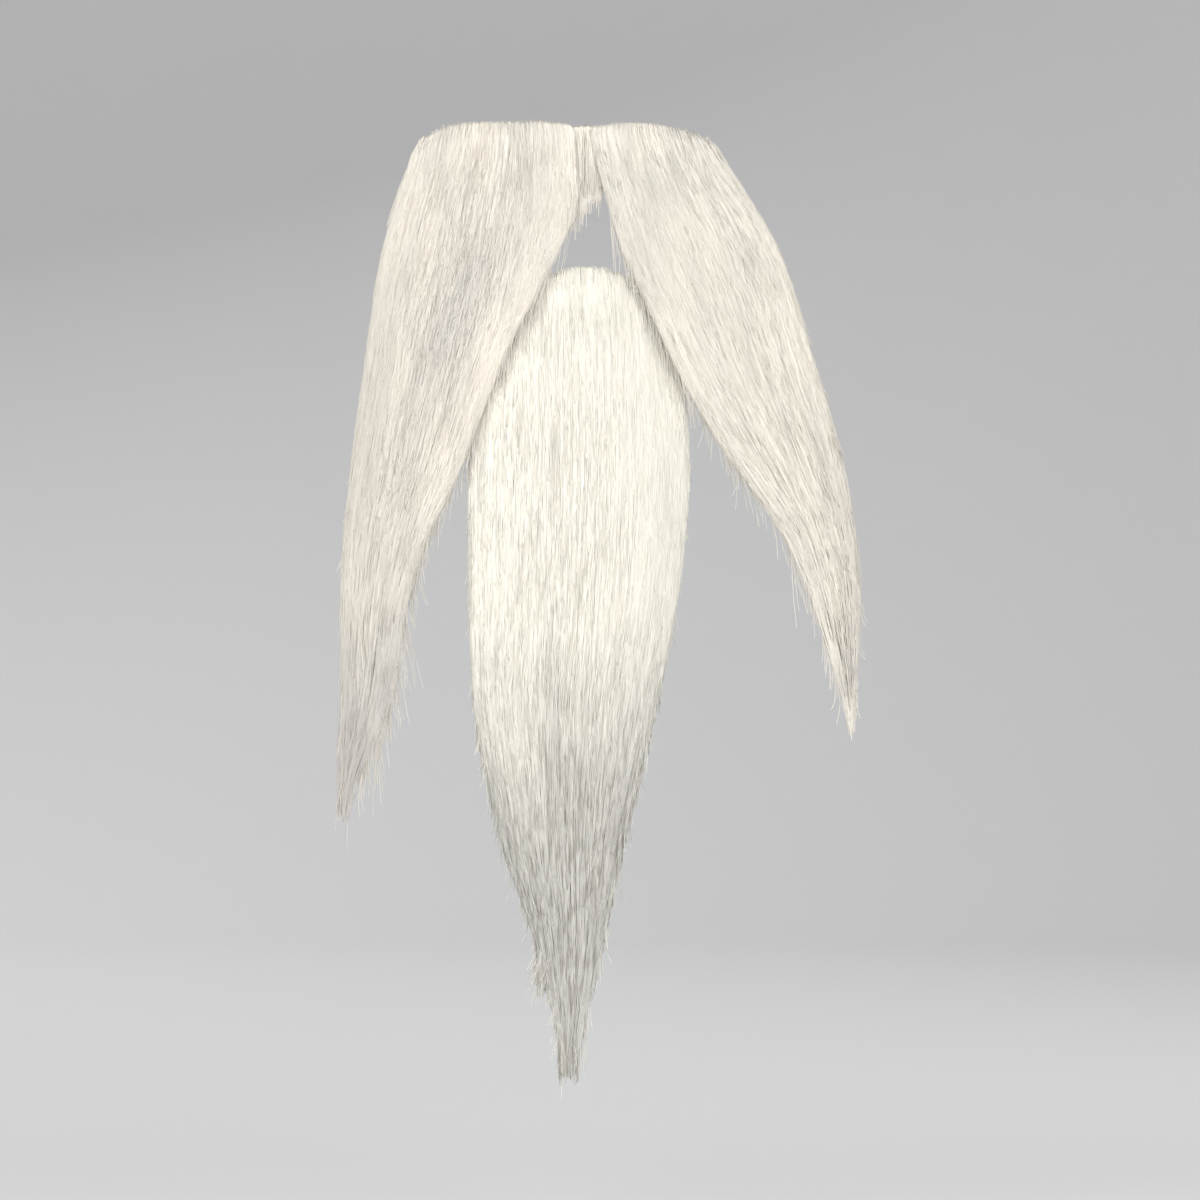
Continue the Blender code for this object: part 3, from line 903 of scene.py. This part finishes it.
def large_coats(long, short, fuzz):
    """The coats of a large bundle, each with this many wisps."""
    return (
        Coat("long", long, hairs=4, wisp_width=0.0009, wander=0.0004, below=(0.0001, 0.0005), wave=0.0001),
        Coat("short", short, hairs=4, wisp_width=0.0007, wander=0.0004, below=(0, 0.0002), wave=0.00008),
        Coat("fuzz", fuzz, hairs=1, wisp_width=0.001, wander=0.0003, below=(-0.0001, 0.0002), wave=0.00005),
    )


def ramp(value, start, span):
    """0 up to the start, and then a rise to 1 over the span."""
    return np.clip((value - start) / span, 0, 1)


def swell(value, centre, width):
    """1 at the centre, and falling off to either side."""
    return np.exp(-(((value - centre) / width) ** 2))


def chin_warmth_and_light(across, drop):
    """Warm in the middle, with a little painted shade at the edges, most at the right one, and more painted
    shade towards the point.
    """
    edge = ramp(np.abs(across - 0.45), start=0.35, span=0.2)
    return CHIN_WARMTH - CHIN_EDGE_SHADE * edge - CHIN_POINT_SHADE * ramp(drop, start=0.36, span=0.48)


ivory = synthetic_hair("ivory synthetic hair", CHIN_WARM, CHIN_COOL_AND_SHADE, CHIN_STREAK_AND_SHADE, CHIN_COOL_AND_SHADE_STREAKS)
chin = read_form("chin_beard", CHIN_EDGES, cut=CHIN_CUT)
chin_coats = large_coats(long=425, short=900, fuzz=2600)
chin_hair = Bundle("chin_beard", chin, CHIN_ROOTS, chin_coats, ivory, chin_warmth_and_light, "ivory_hair", seed=11)
fill_out(chin_hair, core_end=0.93)

# The left wing of the moustache
# A broad flat bundle that is sewn to the moustache's base, bends over it and hangs past the mouth
# opening to its point. It is the same synthetic hair in a cooler white, warmer along its inner edge where a
# cream under-lock lies, with painted shade in a hollow down its middle and at its point.

LEFT_EDGES = (
    (0.000, 0.330, 0.990),
    (0.036, 0.320, 0.995),
    (0.057, 0.297, 0.998),
    (0.087, 0.265, 1.005),
    (0.120, 0.232, 1.015),
    (0.138, 0.222, 0.995),
    (0.168, 0.200, 0.951),
    (0.212, 0.168, 0.887),
    (0.245, 0.157, 0.844),
    (0.293, 0.136, 0.758),
    (0.334, 0.120, 0.704),
    (0.426, 0.082, 0.597),
    (0.470, 0.066, 0.555),
    (0.519, 0.050, 0.490),
    (0.559, 0.034, 0.436),
    (0.603, 0.023, 0.361),
    (0.703, 0.012, 0.286),
    (0.795, 0.016, 0.254),
    (0.851, 0.014, 0.215),
    (0.924, 0.000, 0.110),
    (1.000, 0.004, 0.045),
)
# Its hair runs steeper than its inner edge, which is trimmed
LEFT_FLOW = (
    (0.000, 0.330, 0.990),
    (0.057, 0.297, 1.000),
    (0.120, 0.232, 1.010),
    (0.212, 0.168, 0.970),
    (0.334, 0.120, 0.870),
    (0.470, 0.066, 0.720),
    (0.603, 0.023, 0.550),
    (0.703, 0.012, 0.430),
    (0.851, 0.014, 0.300),
    (0.924, 0.000, 0.150),
    (1.000, 0.004, 0.060),
)
LEFT_ROOTS = ((0.00, 0.040), (0.02, 0.032), (0.06, 0.021), (0.10, 0.014), (0.15, 0.009), (0.20, 0.005),
              (0.29, 0.001), (0.40, 0.000), (0.80, 0.000), (1.00, 0.006))
LEFT_WARMTH = 0.78
LEFT_HOLLOW_SHADE = 0.42
LEFT_INNER_CREAM_AND_HIGHLIGHT = 0.2
LEFT_POINT_SHADE = 0.8
# The wings' darker grey and its dark streaks are partly a random cooler tone and partly painted shade, where
# their warmth and light values are low
WING_WARM = (0.90, 0.85, 0.755, 1)
WING_COOL_AND_SHADE = (0.62, 0.595, 0.56, 1)
WING_STREAK_AND_SHADE = (0.42, 0.38, 0.32, 1)
WING_COOL_AND_SHADE_STREAKS = 0.25
WING_CORE_END = 0.86
WING_COATS = large_coats(long=300, short=650, fuzz=1500)


def left_warmth_and_light(across, drop):
    """Painted shade in a long hollow down the middle and at the point, and warm along the inner edge, for a
    cream under-lock with a painted highlight on it.
    """
    # The hollow and the point are painted shade; the inner edge is a cream under-lock with a painted
    # highlight
    hollow = swell(across + 0.35 * drop, centre=0.62, width=0.20) * swell(drop, centre=0.30, width=0.16)
    inner = ramp(across, start=0.70, span=0.2) * swell(drop, centre=0.33, width=0.13)
    warmth = LEFT_WARMTH - LEFT_HOLLOW_SHADE * hollow + LEFT_INNER_CREAM_AND_HIGHLIGHT * inner
    return np.clip(warmth - LEFT_POINT_SHADE * ramp(drop, start=0.68, span=0.2), 0, 1)


white = synthetic_hair("white synthetic hair", WING_WARM, WING_COOL_AND_SHADE, WING_STREAK_AND_SHADE, WING_COOL_AND_SHADE_STREAKS)
left = read_form("moustache_wing_left", LEFT_EDGES, LEFT_FLOW)
left_hair = Bundle(
    "moustache_wing_left", left, LEFT_ROOTS, WING_COATS, white, left_warmth_and_light, "white_hair", seed=21
)
fill_out(left_hair, WING_CORE_END)

# The right wing of the moustache
# The other bundle of the same white hair, sewn to the same base. It is a little shorter and sweeps
# further out before it falls to its point.

RIGHT_EDGES = (
    (0.000, -0.015, 0.450),
    (0.044, 0.004, 0.472),
    (0.107, 0.044, 0.556),
    (0.170, 0.082, 0.651),
    (0.224, 0.120, 0.708),
    (0.283, 0.187, 0.755),
    (0.367, 0.272, 0.803),
    (0.451, 0.367, 0.869),
    (0.547, 0.499, 0.926),
    (0.652, 0.679, 0.973),
    (0.736, 0.774, 0.992),
    (0.799, 0.826, 0.992),
    (0.862, 0.869, 0.986),
    (0.945, 0.930, 0.975),
    (1.000, 0.952, 0.965),
)
RIGHT_ROOTS = ((0.00, 0.010), (0.25, 0.003), (0.50, 0.003), (0.68, 0.010), (0.86, 0.022), (0.95, 0.034),
               (1.00, 0.046))
RIGHT_WARMTH = 0.68
RIGHT_PAINTED_LIGHT_AND_SHADE = 0.20
RIGHT_POINT_SHADE = 0.25


def right_warmth_and_light(across, drop):
    """Lighter down the middle of its sweep, with painted shade near the base, along the edges and at the
    point.
    """
    middle = swell(across, centre=0.45, width=0.35) - swell(drop, centre=0, width=0.2)
    point = ramp(drop, start=0.6, span=0.4)
    return np.clip(RIGHT_WARMTH + RIGHT_PAINTED_LIGHT_AND_SHADE * middle - RIGHT_POINT_SHADE * point, 0, 1)


right = read_form("moustache_wing_right", RIGHT_EDGES)
right_hair = Bundle(
    "moustache_wing_right", right, RIGHT_ROOTS, WING_COATS, white, right_warmth_and_light, "white_hair", seed=31
)
fill_out(right_hair, WING_CORE_END)

# The centre lock
# A short sparse lock of the same hair in the parting between the wings. It is sewn to the middle of the
# base and drawn in to a point at the top of the mouth opening.

CENTRE_EDGES = (
    (0.00, -0.45, 1.30),
    (0.30, -0.45, 1.42),
    (0.60, -0.42, 1.55),
    (1.00, -0.40, 1.35),
)
CENTRE_ROOTS = ((0.0, 0.09), (0.2, 0.06), (0.5, 0.05), (0.8, 0.06), (1.0, 0.09))
CENTRE_TIPS = ((0.0, 1.20), (0.3, 1.10), (0.7, 0.95), (1.0, 0.84))
CENTRE_WARMTH = 0.75
CENTRE_TIP_DARKENING = 0.35
CENTRE_COATS = (
    Coat("long", wisps=85, hairs=4, wisp_width=0.0006, wander=0.0004, below=(0.0001, 0.0009), wave=0.0001),
    Coat("fuzz", wisps=160, hairs=1, wisp_width=0.0006, wander=0.0003, below=(0, 0.0006), wave=0.00005),
)


def centre_warmth(_across, drop):
    """Warm over the base and darker towards the tips."""
    return CENTRE_WARMTH - CENTRE_TIP_DARKENING * drop


centre = read_form("moustache_centre_lock", CENTRE_EDGES)
centre_hair = Bundle(
    "moustache_centre_lock", centre, CENTRE_ROOTS, CENTRE_COATS, white, centre_warmth, "ivory_hair", seed=41,
    tips=CENTRE_TIPS,
)
add_coats(centre_hair)

# Loose ends
# The hair is brushed and cut by hand, so some ends stand off the bundles: short ones along their sides,
# tufts at the beard's point and inside the wings, and single hairs over the mouth opening.

Tuft = namedtuple("Tuft", "x z end_x end_z hairs spread")
Fringe = namedtuple("Fringe", "side first last hairs length reach")

CHIN_FRINGES = (
    Fringe("left", 0.12, 0.60, 90, 0.0060, 0.0004),
    Fringe("left", 0.55, 0.95, 100, 0.0065, 0.0007),
    Fringe("right", 0.12, 0.60, 70, 0.0060, 0.0004),
    Fringe("right", 0.50, 0.95, 100, 0.0065, 0.0006),
)
CHIN_TUFTS = (
    Tuft(-0.0080, -0.1750, -0.0093, -0.1890, 60, 0.0014),
    Tuft(0.0010, -0.1900, 0.0004, -0.2060, 5, 0.0006),
    Tuft(-0.0040, -0.1990, -0.0044, -0.2080, 16, 0.0004),
    Tuft(-0.0014, -0.1990, -0.0009, -0.2083, 16, 0.0004),
)
LEFT_FRINGES = (
    Fringe("left", 0.15, 0.90, 70, 0.0060, 0.0004),
    Fringe("right", 0.20, 0.60, 170, 0.0090, 0.0008),
    Fringe("right", 0.58, 0.92, 120, 0.0100, 0.0012),
)
LEFT_TUFTS = (
    Tuft(-0.0410, -0.0980, -0.0392, -0.1190, 10, 0.0018),
    Tuft(-0.0430, -0.1080, -0.0412, -0.1300, 12, 0.0020),
    Tuft(-0.0460, -0.1200, -0.0462, -0.1440, 9, 0.0016),
    Tuft(-0.0530, -0.1300, -0.0540, -0.1520, 7, 0.0008),
    Tuft(-0.0020, -0.0120, -0.0046, -0.0250, 4, 0.0010),
)
RIGHT_FRINGES = (
    Fringe("left", 0.18, 0.55, 130, 0.0080, 0.0006),
    Fringe("left", 0.52, 0.92, 80, 0.0090, 0.0008),
    Fringe("right", 0.20, 0.95, 90, 0.0065, 0.0005),
)
RIGHT_TUFTS = (
    Tuft(0.0062, -0.0120, 0.0082, -0.0260, 4, 0.0006),
    Tuft(0.0470, -0.0860, 0.0500, -0.1050, 6, 0.0016),
    Tuft(0.0612, -0.1040, 0.0620, -0.1300, 7, 0.0008),
)
END_SHARES = np.array([0.0, 0.14, 0.28, 0.42, 0.56, 0.70, 0.85, 1.0])
END_TAPER = np.array(((0, 1.0), (0.5, 0.9), (1, 0.35)))
END_MARGIN = 0.06
END_WARMTH = 0.6
END_FRIZZ = 0.0013
END_FRIZZ_SCALE = 120.0
END_MAP_ROWS = 2
# How much a tuft's hairs differ, in x and z, and how far towards its end its way has bent halfway down
TUFT_START_SPREAD = (0.0006, 0.0020)
TUFT_END_SPREAD = 0.0026
TUFT_BEND = 0.25
TUFT_DEPTH = (0.35, 0.95)
TUFT_LIFT = 0.0010
# A fringe hair's length and its reach, in times the fringe's own, and how straight it runs
FRINGE_LENGTHS = (0.5, 1.3)
FRINGE_REACHES = (0.6, 1.0)
FRINGE_STRAIGHTNESS = (0, 0.7)
FRINGE_DEPTH = (0.15, 0.90)
FRINGE_INSET = 0.0005


def depth_at(form, x, z, share):
    """How far forward a share of a bundle's depth is, level with each point."""
    drop = (form.top - z) / form.height
    left, right = at_level(form, drop, form.left), at_level(form, drop, form.right)
    across = np.clip((x - left) / (right - left), END_MARGIN, 1 - END_MARGIN)
    return lay(form, drop, across, np.full(len(drop), share))[:, 1]


def tuft_lines(form, tufts, chance):
    """Hairs that follow a bundle from inside it and then leave it for their tuft's end."""
    share = END_SHARES[:, None]
    lines = []
    for tuft in tufts:
        for _ in range(tuft.hairs):
            start = np.array([tuft.x, tuft.z]) + chance.normal(0, TUFT_START_SPREAD)
            end = np.array([tuft.end_x, tuft.end_z]) + chance.normal(0, (tuft.spread, TUFT_END_SPREAD))
            leaves = np.array([start[0] + TUFT_BEND * (end[0] - start[0]), (start[1] + end[1]) / 2])
            x, z = ((1 - share) ** 2 * start + 2 * share * (1 - share) * leaves + share**2 * end).T
            y = depth_at(form, x, z, chance.uniform(*TUFT_DEPTH))
            lines.append(np.stack([x, y + chance.normal(0, TUFT_LIFT) * END_SHARES**2, z], 1))
    return lines


def fringe_lines(form, fringes, chance):
    """Short hairs along a side of a bundle, which run straighter than the side does and so stand off it."""
    lines = []
    for fringe in fringes:
        outward = -1 if fringe.side == "left" else 1
        for _ in range(fringe.hairs):
            start = chance.uniform(fringe.first, fringe.last)
            drop = start + fringe.length * chance.uniform(*FRINGE_LENGTHS) * END_SHARES / form.height
            edge = at_level(form, drop, getattr(form, fringe.side))
            x = edge + (edge[0] - edge) * chance.uniform(*FRINGE_STRAIGHTNESS)
            reach = fringe.reach * chance.normal(*FRINGE_REACHES) * END_SHARES**2
            x = x + outward * (reach - FRINGE_INSET * (1 - END_SHARES))
            z = form.top - drop * form.height
            lines.append(np.stack([x, depth_at(form, x, z, chance.uniform(*FRINGE_DEPTH)), z], 1))
    return lines


def add_ends(bundle, fringes, tufts, seed):
    """The loose ends of a bundle, as one piece in its own hair."""
    name = bundle.node + "_loose_ends"
    chance = np.random.default_rng(seed)
    lines = np.array(fringe_lines(bundle.form, fringes, chance) + tuft_lines(bundle.form, tufts, chance))
    guide = guide_lines(
        name, lines, along=1.0, thickness=np.interp(END_SHARES, *END_TAPER.T), warmth=END_WARMTH,
        tone=chance.random((len(lines), 1)),
    )
    mesh = grown_on(
        guide, hairs, Radius=RADII["short"], Frizz=END_FRIZZ, Frizz_scale=END_FRIZZ_SCALE, Seed=seed,
        Material=bundle.material,
    )
    lay_out_map(mesh, lines.shape[1], END_MAP_ROWS)
    show(name, mesh, bundle.slot)


add_ends(chin_hair, CHIN_FRINGES, CHIN_TUFTS, seed=51)
add_ends(left_hair, LEFT_FRINGES, LEFT_TUFTS, seed=52)
add_ends(right_hair, RIGHT_FRINGES, RIGHT_TUFTS, seed=53)

# The studio
# A plain pale floor that curves up into a round backdrop, so that it is the same from every side, and
# soft lights. The camera stands level with the beard's middle and frames it closely.

FLOOR_DROP = 0.035
FLOOR_RADIUS = 1.5
COVE_RADIUS = 0.6
COVE_STEPS = 24
WALL_HEIGHT = 0.9
BACKDROP_SIDES = 96
SEAM_MERGE = 0.0001
FLOOR_COLOUR = (0.72, 0.72, 0.725, 1)
FLOOR_ROUGHNESS = 0.95
CAMERA_DISTANCE = 1.8
FRAME_HEIGHT = 0.272
SENSOR = 36.0
ROOM_COLOUR = (1.0, 1.0, 1.0, 1)
ROOM_LIGHT = 0.26

# The lamps stand round the beard's middle, in metres, and have their powers in watts
Lamp = namedtuple("Lamp", "name place width power")
LAMPS = (
    Lamp("key", (-0.75, -1.5, 0.8), 1.2, 11.4),
    Lamp("fill", (0.85, -1.45, 0.7), 1.2, 10.2),
    Lamp("front", (0.1, -1.7, 0.25), 0.8, 11.4),
    Lamp("rim", (0.25, 0.55, 1.0), 0.7, 4),
    Lamp("back", (-0.5, 1.5, 0.9), 1.2, 8),
)

bpy.context.scene.view_settings.view_transform = "Standard"
middle = (cad_box[0] + cad_box[1]) / 2
floor_level = cad_box[0].z - FLOOR_DROP
profile = [(0.0, floor_level)]
for step in range(COVE_STEPS + 1):
    turn = math.pi / 2 * step / COVE_STEPS
    out = FLOOR_RADIUS + COVE_RADIUS * math.sin(turn)
    profile.append((out, floor_level + COVE_RADIUS * (1 - math.cos(turn))))
profile.append((FLOOR_RADIUS + COVE_RADIUS, floor_level + WALL_HEIGHT))
sweep = bmesh.new()
corners = [sweep.verts.new((0, -out, height)) for out, height in profile]
edges = [sweep.edges.new(pair) for pair in zip(corners, corners[1:])]
bmesh.ops.spin(
    sweep, geom=corners + edges, cent=(0, 0, 0), axis=(0, 0, 1), angle=2 * math.pi, steps=BACKDROP_SIDES,
    use_merge=True,
)
bmesh.ops.remove_doubles(sweep, verts=sweep.verts, dist=SEAM_MERGE)
for face in sweep.faces:
    face.smooth = True
backdrop_mesh = bpy.data.meshes.new("backdrop")
sweep.to_mesh(backdrop_mesh)
sweep.free()
paper, tree, shader = start_material("backdrop paper")
feed_all(tree, shader, {"Base Color": FLOOR_COLOUR, "Roughness": FLOOR_ROUGHNESS})
backdrop_mesh.materials.append(paper)
new_object("backdrop", backdrop_mesh)

for lamp in LAMPS:
    source = bpy.data.lights.new(lamp.name, "AREA")
    source.size = lamp.width
    source.energy = lamp.power
    light = new_object(lamp.name, source)
    light.location = middle + Vector(lamp.place)
    light.visible_camera = False
    light.rotation_euler = (middle - light.location).to_track_quat("-Z", "Y").to_euler()

world = bpy.data.worlds.new("room")
world.use_nodes = True
room = world.node_tree.nodes["Background"]
feed_all(world.node_tree, room.inputs, {"Color": ROOM_COLOUR, "Strength": ROOM_LIGHT})
bpy.context.scene.world = world

lens = bpy.data.cameras.new("camera")
lens.sensor_width = SENSOR
lens.lens = SENSOR * CAMERA_DISTANCE / FRAME_HEIGHT
camera = new_object("camera", lens)
camera.location = middle + Vector((0, -CAMERA_DISTANCE, 0))
camera.rotation_euler = (math.pi / 2, 0, 0)
bpy.context.scene.camera = camera
